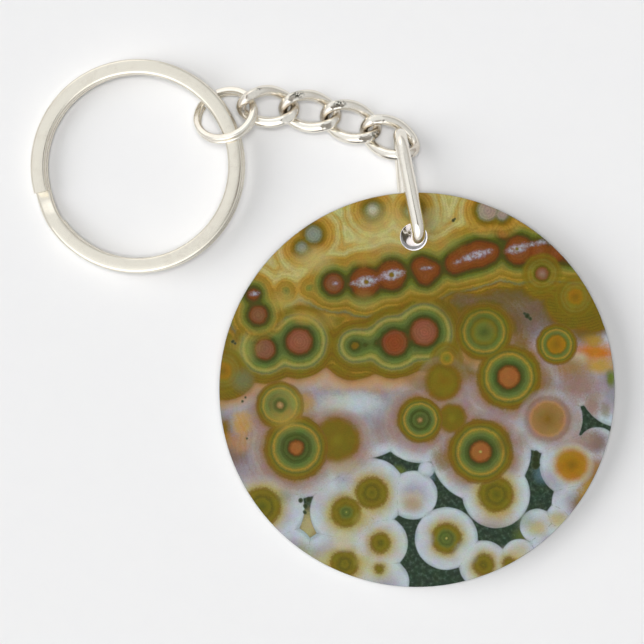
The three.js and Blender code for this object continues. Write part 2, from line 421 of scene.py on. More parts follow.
class Tree:
    """Adds nodes to one node tree, from left to right, and links them."""

    def __init__(self, tree):
        self.tree = tree
        self.count = 0

    def node(self, kind, values=(), **settings):
        node = self.tree.nodes.new(kind)
        node.location = (190 * (self.count // 6), -230 * (self.count % 6))
        self.count += 1
        for key, value in settings.items():
            setattr(node, key, value)
        for socket, value in dict(values).items():
            if isinstance(value, bpy.types.NodeSocket):
                self.tree.links.new(value, node.inputs[socket])
            else:
                node.inputs[socket].default_value = value
        return node

    def math(self, operation, *values):
        return self.node("ShaderNodeMath", enumerate(values), operation=operation).outputs[0]

    def times(self, one, other):
        return self.math("MULTIPLY", one, other)

    def plus(self, one, other):
        return self.math("ADD", one, other)

    def minus(self, one, other):
        return self.math("SUBTRACT", one, other)

    def vector(self, operation, *values):
        if operation == "SCALE":
            values = {0: values[0], "Scale": values[1]}
        else:
            values = dict(enumerate(values))
        node = self.node("ShaderNodeVectorMath", values, operation=operation)
        single = operation in ("DISTANCE", "LENGTH", "DOT_PRODUCT")
        return node.outputs["Value" if single else "Vector"]

    def noise(self, position, size, detail=2.0, roughness=0.5, output="Fac"):
        node = self.node(
            "ShaderNodeTexNoise",
            {"Vector": position, "Scale": 1 / size, "Detail": detail, "Roughness": roughness},
        )
        return node.outputs[output]

    def fade(self, value, start, end, low=0.0, high=1.0, curve="SMOOTHSTEP"):
        values = {"Value": value, "From Min": start, "From Max": end}
        values.update({"To Min": low, "To Max": high})
        node = self.node("ShaderNodeMapRange", values, interpolation_type=curve)
        return node.outputs["Result"]

    def mix(self, factor, under, over):
        node = self.node("ShaderNodeMix", {0: factor, 6: under, 7: over}, data_type="RGBA")
        return node.outputs[2]

    def ramp(self, value, stops, soften=0.25):
        """A colour and an opacity from stops of (value, colour name, opacity).

        Each stop's colour is softened with those of its neighbours."""
        low, high = stops[0][0], stops[-1][0]
        spread = self.fade(value, low, high, curve="LINEAR")
        node = self.node("ShaderNodeValToRGB", {"Fac": spread})
        elements = node.color_ramp.elements
        for i, stop in enumerate(stops):
            place = (stop[0] - low) / (high - low)
            element = elements[i] if i < 2 else elements.new(place)
            element.position = place
        colors = [Vector(linear(STONE[stop[1]])[:3]) for stop in stops]
        for i, (element, stop) in enumerate(zip(elements, stops)):
            beside = (colors[max(i - 1, 0)] + colors[min(i + 1, len(colors) - 1)]) / 2
            soft = colors[i].lerp(beside, soften)
            element.color = (*soft, stop[2] if len(stop) > 2 else 1.0)
        return node.outputs["Color"], node.outputs["Alpha"]


def new_group(name, inputs, outputs):
    """An empty node group with named sockets: (name, kind, default)."""
    tree = bpy.data.node_groups.new(name, "ShaderNodeTree")
    for names, way in ((inputs, "INPUT"), (outputs, "OUTPUT")):
        for socket, kind, *default in names:
            made = tree.interface.new_socket(
                name=socket, in_out=way, socket_type="NodeSocket" + kind
            )
            if default:
                made.default_value = default[0]
    maker = Tree(tree)
    entry = maker.node("NodeGroupInput")
    return tree, maker, entry.outputs


def close_group(maker, **values):
    exit_node = maker.node("NodeGroupOutput")
    for socket, value in values.items():
        maker.tree.links.new(value, exit_node.inputs[socket])


def placed(maker, tree, **values):
    node = maker.node("ShaderNodeGroup", node_tree=tree)
    for socket, value in values.items():
        socket = socket.replace("_", " ")
        if isinstance(value, bpy.types.NodeSocket):
            maker.tree.links.new(value, node.inputs[socket])
        else:
            node.inputs[socket].default_value = value
    return node.outputs


# ---------------------------------------------------------------- the stone picture

# The stone's colours, as they are displayed
STONE = {
    "matrix_black": "28322a", "matrix": "323e34", "matrix_light": "46564c", "matrix_fleck": "707e76",
    "white": "c0c8d6", "bluish_white": "c6d0de", "rim_grey": "a4b0bc", "lilac": "acaabc",
    "lilac_grey": "948e9c", "mauve": "967a72", "mauve_dark": "7c645c", "mauve_light": "a8968e",
    "peach": "b4885e", "peach_light": "c09c74", "tan": "96744a", "cream": "bab084",
    "cream_light": "c2bca4", "orange": "be7634", "amber": "a87828", "gold": "a88438",
    "gold_light": "b89248", "gold_dark": "7c6022", "straw": "b4a662", "straw_pale": "c4ba84",
    "yellow_green": "86803e", "moss": "6a743c", "fern": "607040", "leaf_dark": "48522c",
    "olive_black": "3e421e", "olive_dark": "56541e", "olive": "726426", "olive_light": "80742c",
    "bronze": "7a5e26", "slate": "70765a", "red": "7e4824", "red_dark": "6a4020", "red_dusty": "885840",
    "rose": "8c5644", "rose_light": "94624e", "rust": "94603a", "rust_light": "a2683c",
    "grey": "b4b4ac", "grey_shade": "94907a", "pit": "30361f", "teal": "6e90a2", "umber": "6f5a48",
    "loam": "6a5828", "ember": "86482c", "dull_rose": "7e5c48", "blue_grey": "848c80",
    "pink_grey": "a29084",
}

# Every place and reach below is in millimetres from the charm's middle, as (x, y, radius).
# Round white growths that the dark ground shows between
WHITE_GROWTHS = [
    (0.4, -3.8, 5.5), (8.2, -7.9, 6.4), (10.2, -13.4, 4.3), (-5.8, -13.2, 4.4), (-0.5, -13.5, 3.1),
    (-4.7, -19.7, 3.5), (-4.1, -24.8, 3.1), (3.8, -19.1, 4), (8.6, -22.5, 3.1), (19.7, -9.6, 3.9),
    (15.5, -17.5, 2.2), (13.2, -21.5, 2.3), (18.6, -16.3, 1.9), (16.8, -3.7, 4.4), (-19.5, -15.3, 5),
    (-9.1, -15.7, 4.6), (-15.5, -7.4, 6.5), (-15.1, -1.4, 7.7), (-7.4, -0.1, 8.7), (-22.8, -1.4, 9),
    (2.9, -0.1, 8), (11.8, 1.7, 8.2), (23.9, -10.9, 3.9), (26.5, 0.9, 5.7), (-22, -8.5, 5.4),
    (-10.5, -22.4, 4.6), (-16.6, -20.9, 3.4), (-9.3, -9.4, 1.9), (18.4, -20.1, 2.8), (14.5, -23.9, 2.6),
    (17.5, 9.5, 8.5), (4, 8, 9), (23.2, -7.3, 2.5), (19.8, 3.4, 5.5), (20.5, -14.4, 3.1),
    (17, -19.2, 2.4), (1.2, -10.2, 1),
]
# Soft stains in the white stone: x, y, reach, colour, strength, stretch along x
STAINS = [
    (-6, 1.3, 3.9, "peach", 0.95, 2.6), (-11.5, 1.4, 2.8, "peach_light", 0.7, 2.2),
    (-8.6, -2, 3.4, "white", 0.8, 2.4), (-1.5, 1.3, 2.4, "peach", 0.7, 1.6),
    (-21, -5.6, 3, "mauve", 0.9, 1.2), (-23.4, -8.1, 2.8, "mauve_dark", 0.95, 1),
    (-24.9, -5, 2, "gold_dark", 1, 0.7), (-24.4, -6.4, 1.4, "amber", 0.6, 1),
    (-19.6, -3.2, 2.2, "tan", 0.6, 0.8), (-20.6, 0.2, 2, "straw", 0.35, 1),
    (-8.2, -7.6, 3.6, "mauve_light", 0.9, 1.1), (-10, -9.6, 3.2, "cream", 0.4, 1.6),
    (-13.6, -13, 3.4, "mauve_light", 0.35, 1), (22.8, 4.9, 2.8, "orange", 1, 2.6),
    (20.6, 4, 1.6, "cream_light", 0.8, 1.4), (23.5, 3.2, 2.2, "gold_light", 0.95, 2),
    (20.8, 0.6, 3.6, "mauve", 0.95, 1.4), (18.6, -3.9, 5, "mauve", 0.85, 1),
    (22.6, -2, 2, "mauve", 0.9, 0.7), (17.2, 1.6, 1.6, "lilac", 0.7, 1.2),
    (15, 10.6, 2.2, "mauve", 0.8, 1.2), (21.6, 7.6, 2.6, "bronze", 0.95, 1.6),
    (19.4, 3, 2.6, "tan", 0.9, 1.6), (22.6, 6.4, 1.6, "gold", 0.9, 1.6),
    (5.5, 2.2, 2, "peach", 0.9, 0.9), (7, -1, 1.7, "mauve", 0.5, 1), (14.5, -0.9, 2.6, "lilac", 0.5, 1),
    (19.7, -7, 2.6, "mauve_light", 0.9, 1.8), (23.1, -6.6, 2.2, "mauve_dark", 0.9, 1),
    (24.2, -2.6, 1.2, "bronze", 0.6, 0.6), (21.8, -6.4, 2.2, "mauve", 0.7, 1),
    (3.6, -8.9, 2.2, "tan", 0.6, 1.2), (-5.8, -14.3, 3.6, "cream", 0.75, 1),
    (-9.3, -16.9, 3.6, "cream", 0.8, 1), (-2.9, -20, 2.6, "cream_light", 0.5, 1),
    (15.5, -17.7, 1.6, "cream", 0.9, 1.2), (13.2, -21, 1.8, "cream", 0.8, 1),
    (22.9, -12.3, 3.2, "gold", 0.85, 0.9), (21.5, -15, 2.6, "bronze", 0.95, 0.8),
    (18.2, -16.7, 1.8, "cream", 0.9, 1.4), (-15, -22, 3.4, "yellow_green", 0.8, 1.2),
    (-11.2, -23.2, 3.4, "straw", 0.8, 1.2), (-18.5, -12, 4.2, "tan", 0.55, 1.8),
    (24.9, 1.5, 1.2, "moss", 1, 0.5), (-0.7, -14.2, 2, "cream_light", 0.8, 1.4),
    (-25, -1.2, 1.6, "olive", 0.7, 0.6), (3, -7.2, 1.6, "lilac_grey", 0.5, 1),
    (-7.4, -23, 2.6, "cream", 0.7, 1), (22.5, 11, 2, "olive_light", 1, 0.9),
    (12.6, -2.7, 1.4, "peach", 0.3, 1), (22.6, -10.6, 2.6, "tan", 0.95, 0.8),
    (22.4, -13.4, 2.4, "gold", 0.95, 0.8), (-8, -9.5, 3, "mauve_light", 0.8, 1.2),
    (-19, -9.9, 3, "mauve", 0.7, 1.4), (11.6, -9.4, 2.6, "mauve_light", 0.8, 0.8),
    (10.4, -15.4, 1.8, "peach", 0.8, 1.6), (-0.6, -14.8, 1.6, "tan", 0.5, 1.2),
    (10, -16.8, 2.6, "tan", 0.6, 1.8), (-22.4, -4.2, 1.9, "peach_light", 0.85, 0.8),
    (-22.6, -6.8, 2, "peach", 0.75, 1), (17.2, -12, 2.6, "lilac_grey", 0.6, 1),
]
# Stains over the targets' halos, in the same form
HALO_STAINS = [
    (13.8, 9.4, 4.4, "umber", 0.9, 1.2), (10.4, 12, 3.8, "loam", 0.95, 2.4),
    (5.4, 10.9, 2.4, "loam", 0.95, 0.9), (18.2, 9.8, 3.2, "umber", 0.8, 1.2),
    (13.4, 6.3, 2, "bronze", 0.8, 0.9), (6.2, 3.8, 3, "loam", 1, 1),
    (-9.4, -9.6, 1.9, "cream", 0.5, 1.5), (-7.6, -1.5, 2.6, "white", 0.75, 2.4),
    (-4.1, -5.4, 2.6, "mauve", 0.7, 1), (-10.5, -1.4, 2.4, "cream_light", 0.4, 1.6),
    (3.4, -8.9, 2.2, "bronze", 0.6, 1), (13.7, -6.3, 1.9, "mauve", 0.6, 1),
    (-22.4, -4.1, 2, "gold_light", 0.75, 0.9), (-14.1, -1.6, 1.6, "gold_light", 0.6, 0.8),
    (16.5, 1.2, 2, "bronze", 0.6, 1), (13.2, 12.6, 2.4, "loam", 0.9, 1.8),
    (16.8, 11.2, 1.6, "loam", 0.8, 1), (12.6, 8.6, 1.8, "loam", 0.5, 0.7),
]
# Soft stains in the dark ground, in the same form
GROUND_STAINS = [
    (-13.9, -17.5, 2.6, "cream", 0.85, 0.8), (16, -10.6, 1.6, "teal", 0.45, 0.7),
    (0.6, -11.2, 1.6, "teal", 0.7, 1.6), (-12.6, -18.8, 1.4, "tan", 0.6, 1),
    (-2.4, -10.4, 1.2, "moss", 0.7, 1.2), (13.8, -18.6, 1.8, "moss", 0.6, 1),
]
# Soft stains in the gold field and on the targets, in the same form, and a painted pool of light beside
# the connector
FIELD_STAINS_AND_LIGHT = [
    (-3.5, 20.6, 5.2, "straw_pale", 0.42, 1.5), (-6.7, 16.9, 2, "gold_light", 0.5, 1.8),
    (3, 19, 2.6, "straw", 0.3, 1.8), (-13.2, 16.8, 2.8, "straw_pale", 0.5, 1.6),
    # The cream patch at (2, 21.8), beside the connector, is painted light that the connector reflects
    # onto the print
    (2, 21.8, 2.2, "cream", 0.6, 1), (-14.4, 9.5, 1.9, "gold_light", 0.55, 1.7),
    (5, 11, 3.4, "loam", 0.6, 1.2), (-6.7, 11.5, 2, "straw", 0.25, 1.5),
    (-11.9, 8.9, 2, "straw", 0.25, 1.4), (-22.2, 5.2, 2.6, "straw", 0.3, 1),
    (-6.7, 19.2, 2, "straw_pale", 0.4, 1.2), (-17, 11.5, 2, "straw", 0.45, 1.3),
]
TARGET_STAINS = [
    (-17, -1.8, 3.2, "straw", 0.4, 1.1), (-17, -3.6, 2.4, "gold_light", 0.4, 1.2),
    (-22.3, 1.2, 2, "slate", 0.7, 1), (8.4, 8.8, 3.6, "olive_dark", 0.35, 1.2),
    (0, 1.2, 2, "bronze", 0.5, 1.4), (3.8, 4.1, 2.4, "loam", 0.45, 1),
    (11.2, -6.6, 1.7, "loam", 0.5, 1), (1.1, -19.4, 1.4, "white", 0.6, 1),
    (6.2, -21, 1.9, "bluish_white", 0.6, 1), (-9.4, -19.4, 1.8, "cream_light", 0.9, 1.2),
    (-6.7, -22, 1.6, "straw", 0.5, 1), (-9.3, -11.6, 1.6, "lilac_grey", 0.5, 1.2),
    (-17, -13.6, 1.4, "slate", 0.4, 1), (6.2, 2.6, 2.4, "gold_dark", 0.5, 0.8),
    (13.9, -16.8, 1.6, "blue_grey", 0.5, 1), (-6.7, -16.9, 1.8, "straw", 0.45, 1),
]
# Olive middles of the white growths near the lower rim
BASINS = [
    (-5.8, -13.2, 1.9), (-4.7, -19.7, 1.15), (-9.3, -22.4, 1.7), (-4.8, -23, 0.45),
    (8.6, -22.5, 1.25), (-19.9, -15, 2.3), (-9.1, -15.7, 1.8), (3.8, -19.1, 1.8),
    (10.2, -13.4, 2.1), (11.9, -22.3, 0.65), (-11.8, -24.3, 1.4), (-14.9, -23.4, 1),
]
# What the gold and olive field covers
GOLD_FIELD = [
    (0, 24, 12.5), (-5, 16.5, 10.5), (-11.2, 14.1, 9), (10.7, 22.5, 9.2), (-20.9, 7.6, 5.6),
    (-22.8, 11.5, 6.4), (-24.6, 3, 4.2), (-19.5, 5.3, 4.4), (-15.1, 6.3, 4.7), (-8, 5.9, 4.5),
    (-2.9, 6.1, 4.5), (0.9, 7.5, 5), (8.6, 7.5, 3.6), (6.9, 17.1, 4.7), (11.3, 18.6, 5.6),
    (16.2, 14.7, 3), (20.2, 11.6, 3.7), (19, 17.5, 5), (23, 10.2, 2.6),
]
# The three rows in the field. A negative radius draws the rings out to a place without a core.
GREY_ORBS = [
    (-5.7, 23.1, 0.62), (-0.5, 23.1, 0.62), (-13.3, 20, 0.66), (-14.8, 18.3, 0.36),
    (9, 23.1, 0.95), (10.9, 22.6, 0.5),
]
RED_ORBS = [
    (-10.7, 13.7, 1.35), (-6.7, 13.9, 1.95), (-3.3, 14.8, 1.9), (0.6, 15.8, 1.35), (1.9, 15.5, 1.1),
    (1, 14.6, 1.1), (4.9, 16.3, 1.35), (6.2, 17, 1.6), (7.9, 17.5, 1.75), (9.3, 17.7, 1.25),
    (13, 18, 1.85), (15.6, 17.9, 1.3), (17.8, 17.6, 1.2), (19.9, 17.3, 1.1), (11, 20.2, 0.75),
    (-21, 12.3, 0.8), (-20.4, 9.7, 1.2), (-16.8, 12.8, -0.6), (-13.8, 13.2, -0.7),
]
ROSE_ORBS = [(-19.5, 5.3, 1.35), (-15.1, 6.3, 1.7), (-2.9, 6.1, 1.65), (0.9, 7.5, 1.8)]
# What draws the green rings of the second rose pair out round a dark eye
GREEN_LOZENGE = [(-7.9, 5.7, 0.35), (-6.6, 5.8, -0.15), (-5.2, 6.0, -0.1)]
TARGETS = [
    (11.8, 1.7, 4.1), (8.2, -7.9, 4.1), (-15.5, -7.4, 4.1), (0.4, -3.8, 2.9),
    (-17.6, -1.9, 3.05), (8.6, 7.5, 3.6), (17.9, 5.9, 2.65),
]
FAINT_TARGETS = [(16, 15, 2.5), (20.3, 12, 2.7), (3.8, 4.1, 2.1), (-24.9, 2.5, 2.9)]
OLIVE_ORBS = [(3.3, 1.1, 2.35), (-10.3, -6.4, 2.85), (4.5, -3.6, 1.8)]
# White streaks in the red orbs
STREAKS = [
    (-6.6, 13.95, 0.62), (-5.2, 14.2, 0.2), (-8, 13.75, 0.16), (-3.3, 14.85, 0.6), (-2.3, 15.1, 0.26),
    (6.6, 17.05, 0.34), (7.8, 17.45, 0.46), (8.9, 17.75, 0.28), (5.2, 16.5, 0.16), (12.8, 18.15, 0.52),
    (13.7, 18.5, 0.3), (11.8, 17.9, 0.18), (15.9, 19, 0.26), (17.4, 19, 0.24), (14.8, 18.75, 0.16),
    (-20.9, 12.4, 0.2), (-10.5, 13.75, 0.1), (0.8, 15.65, 0.1), (1.6, 15.75, 0.1),
]
# Small dark hollows
PITS = [
    (4.5, 21.8, 0.18), (4.75, 22, 0.1), (15.3, -8.2, 0.42), (15.2, -8.9, 0.5), (15.2, -9.6, 0.5),
    (14.1, 9.6, 0.3), (14.5, 9.25, 0.2), (13.75, 9.9, 0.12), (-22.4, -1.4, 0.12), (-22, -0.9, 0.1),
    (-23.6, 6.2, 0.17), (-23.3, 5.9, 0.12), (-21.8, -6.2, 0.1), (-15, -14.2, 0.28),
    (-13.9, -14.1, 0.34), (-14.3, -14.9, 0.28), (-14.4, -15.7, 0.2),
]

# The side of the printed picture's square of UV space, in mm
PRINT_SPAN = 52.0
# How far the ink reaches into the acrylic
PRINT_OVERLAP = 0.01 * MM
# How far the row of red orbs is turned
ROW_TILT = math.radians(10)

# How deep the print shows its colours, and what the ink's gloss adds to every colour
PRINT_GAIN = (0.84, 0.85, 0.78)
GLOSS_LIFT = 0.014

# A glow painted on the wall of the charm's hole: emission that stands in for the light the clear
# acrylic carries there
WALL_GLOW = 0.75


def orb_field(name, orbs, merge, by_share=False):
    """Group: how far a place lies outside the nearest orb, in mm, or from its middle, in radii."""
    tree, maker, entry = new_group(name, [("Place", "Vector")], [("Field", "Float")])
    field = None
    for x, y, radius in orbs:
        reach = maker.vector("DISTANCE", entry["Place"], (x, y, 0.0))
        value = maker.math("DIVIDE" if by_share else "SUBTRACT", reach, radius)
        if field is None:
            field = value
        elif merge:
            field = maker.math("SMOOTH_MIN", field, value, merge)
        else:
            field = maker.math("MINIMUM", field, value)
    close_group(maker, Field=field)
    return tree


def seam_field(name, orbs):
    """Group: how much farther the second nearest orb is than the nearest one, in mm."""
    tree, maker, entry = new_group(name, [("Place", "Vector")], [("Field", "Float")])
    first = second = 99.0
    for x, y, radius in orbs:
        reach = maker.vector("DISTANCE", entry["Place"], (x, y, 0.0))
        value = maker.minus(reach, radius)
        second = maker.math("MINIMUM", second, maker.math("MAXIMUM", first, value))
        first = maker.math("MINIMUM", first, value)
    close_group(maker, Field=maker.minus(second, first))
    return tree


def stain_group():
    """Group: a soft round stain laid over a colour."""
    inputs = [
        ("Place", "Vector"), ("Ragged", "Float", 0.0), ("Mask", "Float", 1.0), ("Under", "Color"),
        ("Middle", "Vector"), ("Squeeze", "Vector"), ("Tint", "Color"), ("Strength", "Float", 1.0),
    ]
    tree, maker, entry = new_group("Soft Stain", inputs, [("Color", "Color")])
    offset = maker.vector("SUBTRACT", entry["Place"], entry["Middle"])
    squeezed = maker.vector("MULTIPLY", offset, entry["Squeeze"])
    reach = maker.plus(maker.vector("LENGTH", squeezed), entry["Ragged"])
    strength = maker.times(entry["Strength"], entry["Mask"])
    factor = maker.times(maker.fade(reach, 0.2, 1.05, 1.0, 0.0), strength)
    close_group(maker, Color=maker.mix(factor, entry["Under"], entry["Tint"]))
    return tree


def soft_stain(maker, under, place, ragged, mask, stain):
    """Lays one soft stain of (x, y, reach, colour, strength, stretch) over a colour."""
    x, y, reach, tint, strength, stretch = stain
    return placed(
        maker, shared("Soft Stain", stain_group), Place=place, Ragged=ragged, Mask=mask, Under=under,
        Middle=(x, y, 0.0), Squeeze=(1 / (reach * stretch**0.5), stretch**0.5 / reach, 0.0),
        Tint=linear(STONE[tint]), Strength=strength,
    )["Color"]


class Picture:
    """Paints layers of the stone over each other in one node tree."""

    def __init__(self, maker, place):
        self.maker = maker
        self.place = place
        self.color = None
        # Places that noise has shifted, and noises that break up rims and colours
        slow = maker.noise(place, 3.4, 3.0, output="Color")
        quick = maker.noise(place, 0.8, 2.0, output="Color")
        middle = (0.5, 0.5, 0.5)
        slow = maker.vector("SUBTRACT", slow, middle)
        quick = maker.vector("SUBTRACT", quick, middle)
        shiver = maker.vector("MULTIPLY_ADD", quick, (0.16, 0.16, 0.0), place)
        self.near = maker.vector("MULTIPLY_ADD", slow, (0.28, 0.28, 0.0), shiver)
        self.wavy = maker.vector("MULTIPLY_ADD", slow, (0.62, 0.62, 0.0), shiver)
        self.crisp = maker.vector("MULTIPLY_ADD", quick, (0.1, 0.1, 0.0), place)
        self.cloud = maker.minus(maker.noise(place, 2.8, 3.0), 0.5)
        self.fuzz = maker.minus(maker.noise(place, 0.26, 3.0, 0.6), 0.5)
        fine = maker.minus(maker.noise(place, 0.9, 3.0), 0.5)
        self.fine = maker.math("MULTIPLY_ADD", self.fuzz, 1.8, fine)
        self.grain = maker.noise(place, 0.16, 2.0)
        self.fibre = maker.noise(place, 0.45, 2.0)
        split = maker.node("ShaderNodeSeparateXYZ", {0: place}).outputs
        self.across, self.height = split["X"], split["Y"]

    def field(self, tree, place=None):
        return placed(self.maker, tree, Place=place or self.near)["Field"]

    def orbs(self, name, orbs, merge, place=None, by_share=False):
        return self.field(orb_field(name, orbs, merge, by_share), place)

    def wobbled(self, value, amount, noise=None):
        return self.maker.math("MULTIPLY_ADD", noise or self.fine, amount, value)

    def paint(self, value, stops, mask=None):
        color, opacity = self.maker.ramp(value, stops)
        if mask is not None:
            opacity = self.maker.times(opacity, mask)
        self.color = color if self.color is None else self.maker.mix(opacity, self.color, color)

    def growth_lines(self, value, spacing, strength, mask):
        """Darkens and lightens the colour in fine lines at even steps of a value."""
        turns = self.maker.times(value, TURN / spacing)
        wave = self.maker.math("SINE", self.wobbled(turns, 5.0))
        wave = self.maker.times(wave, mask)
        shade = self.maker.math("MULTIPLY_ADD", wave, strength, 1.0)
        self.color = self.maker.vector("SCALE", self.color, shade)

    def stain(self, stains, mask):
        ragged = self.maker.times(self.fine, 0.25)
        for stain in stains:
            self.color = soft_stain(self.maker, self.color, self.wavy, ragged, mask, stain)

    def cores(self, name, orbs, stops, wobble=0.2):
        self.paint(self.wobbled(self.orbs(name, orbs, 0.0), wobble), stops)


def white_stone(picture, maker):
    """The dark ground with light flecks, and white growths, bluish towards their crisp rims."""
    flecks = maker.noise(picture.place, 0.5, 3.0)
    picture.paint(flecks, [
        (0.28, "matrix_black"), (0.52, "matrix"), (0.68, "matrix_light"), (0.9, "matrix_fleck"),
    ])
    growth = picture.orbs("White Growths", WHITE_GROWTHS, 0.35, picture.crisp)
    picture.stone = maker.fade(growth, -0.06, 0.13, 1.0, 0.0)
    picture.paint(picture.wobbled(growth, 1.4, picture.cloud), [
        (-3.2, "lilac_grey"), (-2.0, "lilac"), (-1.1, "white"), (-0.35, "bluish_white"),
        (0.02, "rim_grey"),
    ], picture.stone)
    picture.stain(STAINS, picture.stone)
    picture.stain(GROUND_STAINS, maker.minus(1.0, picture.stone))


def rim_seams(picture, maker):
    """Broken grey lines where two white rims have met."""
    seam = picture.field(seam_field("Rim Seams", WHITE_GROWTHS), picture.crisp)
    broken = maker.fade(picture.fibre, 0.48, 0.62)
    line = maker.times(maker.fade(seam, 0.0, 0.14, 0.55, 0.0), broken)
    line = maker.times(line, picture.stone)
    line = maker.times(line, maker.fade(picture.height, 1.0, 2.0, 1.0, 0.0))
    picture.color = maker.mix(line, picture.color, linear(STONE["slate"]))


def target_halos(picture, maker):
    """Soft halos and faint growth lines round the targets."""
    around = picture.orbs("Round Targets", TARGETS[:6] + OLIVE_ORBS, 0.4)
    wave = maker.math("SINE", picture.wobbled(maker.times(around, TURN / 0.66), 6.0))
    wave = maker.math("MULTIPLY_ADD", wave, 0.06, 0.05)
    wave = maker.times(wave, maker.fade(around, 0.2, 0.8))
    wave = maker.times(wave, maker.fade(around, 2.4, 4.6, 1.0, 0.0))
    wave = maker.times(wave, picture.stone)
    wave = maker.times(wave, maker.fade(picture.height, 5.0, 8.0, 1.0, 0.4))
    halo = maker.times(picture.stone, maker.fade(picture.cloud, -0.25, 0.1, 0.55, 1.0))
    picture.paint(picture.wobbled(around, 0.4), [
        (0.0, "bronze"), (0.2, "tan", 0.95), (0.5, "mauve", 0.95), (0.9, "mauve", 0.85),
        (1.3, "mauve_light", 0.75), (1.7, "mauve_light", 0.4), (2.4, "lilac", 0.0),
    ], halo)
    picture.stain(HALO_STAINS, picture.stone)
    wave = maker.times(wave, maker.fade(picture.cloud, -0.15, 0.15, 0.25, 1.0))
    picture.color = maker.mix(wave, picture.color, linear(STONE["bluish_white"]))


def basins(picture, maker):
    """Olive middles of the white growths near the lower rim."""
    basin = picture.orbs("Basins", BASINS, 0.3)
    picture.paint(picture.wobbled(basin, 0.35), [
        (-2.2, "olive_dark"), (-1.3, "olive_light"), (-1.0, "olive_dark"), (-0.7, "olive"),
        (-0.4, "olive_light"), (-0.15, "olive"), (0.1, "gold_dark", 0.95), (0.4, "straw", 0.85),
        (0.8, "cream", 0.6), (1.3, "cream_light", 0.3), (2.0, "white", 0.0),
    ])


def gold_field(picture, maker):
    """The banded gold field, pale above the red orbs and olive below them."""
    edge = picture.orbs("Gold Field", GOLD_FIELD, 0.7, picture.wavy)
    picture.grey = picture.orbs("Grey Orbs", GREY_ORBS, 0.5)
    picture.red = picture.orbs("Red Orbs", RED_ORBS, 1.1)
    picture.rose = picture.orbs("Rose Orbs", ROSE_ORBS + GREEN_LOZENGE, 1.4)
    picture.nearest = maker.math("SMOOTH_MIN", picture.grey, picture.red, 1.6)
    picture.nearest = maker.math("SMOOTH_MIN", picture.nearest, picture.rose, 1.6)
    drift = maker.times(picture.cloud, maker.fade(picture.nearest, 0.8, 3.5, 0.0, 1.9))
    bands = maker.plus(picture.wobbled(picture.nearest, 0.25), drift)
    above, _ = maker.ramp(bands, [
        (0.6, "olive_light"), (1.0, "gold"), (1.5, "gold_light"), (1.75, "gold"),
        (2.0, "gold_light"), (2.2, "straw"), (2.5, "straw_pale"), (2.75, "straw"),
        (3.0, "gold_light"), (3.2, "straw"), (3.5, "straw_pale"), (3.8, "straw_pale"),
        (4.1, "straw"), (4.7, "straw_pale"), (5.2, "straw"), (5.6, "straw_pale"),
    ])
    below, _ = maker.ramp(bands, [
        (0.6, "moss"), (1.0, "yellow_green"), (1.3, "straw"), (1.5, "olive_light"),
        (1.75, "olive"), (1.95, "gold"), (2.2, "olive_light"), (2.4, "slate"),
        (2.6, "gold_dark"), (2.9, "gold"), (3.1, "olive"), (3.3, "olive_light"),
        (3.6, "bronze"), (3.9, "olive_light"), (4.3, "gold_dark"), (5.0, "olive"),
    ])
    row_line = maker.math("MULTIPLY_ADD", picture.across, -0.136, picture.height)
    lower = maker.fade(row_line, 12.0, 15.2, 1.0, 0.0)
    picture.ground = maker.fade(edge, -0.12, 0.06, 1.0, 0.0)
    picture.color = maker.mix(picture.ground, picture.color, maker.mix(lower, above, below))
    fringe = maker.times(picture.stone, maker.fade(picture.height, 5.0, 6.0, 1.0, 0.0))
    picture.paint(edge, [
        (-0.9, "bronze", 0.0), (-0.5, "olive", 0.5), (-0.2, "bronze", 0.85), (0.0, "gold_dark"),
        (0.1, "tan", 0.9), (0.4, "peach", 0.85), (1.0, "peach_light", 0.5), (1.9, "white", 0.0),
    ], fringe)
    picture.paint(picture.wobbled(edge, 0.3), [
        (-0.4, "gold_dark", 0.0), (0.0, "gold_dark", 0.9), (0.4, "loam", 0.75),
        (0.9, "umber", 0.55), (1.9, "umber", 0.0),
    ], maker.times(picture.stone, maker.fade(picture.height, 6.5, 8.0)))


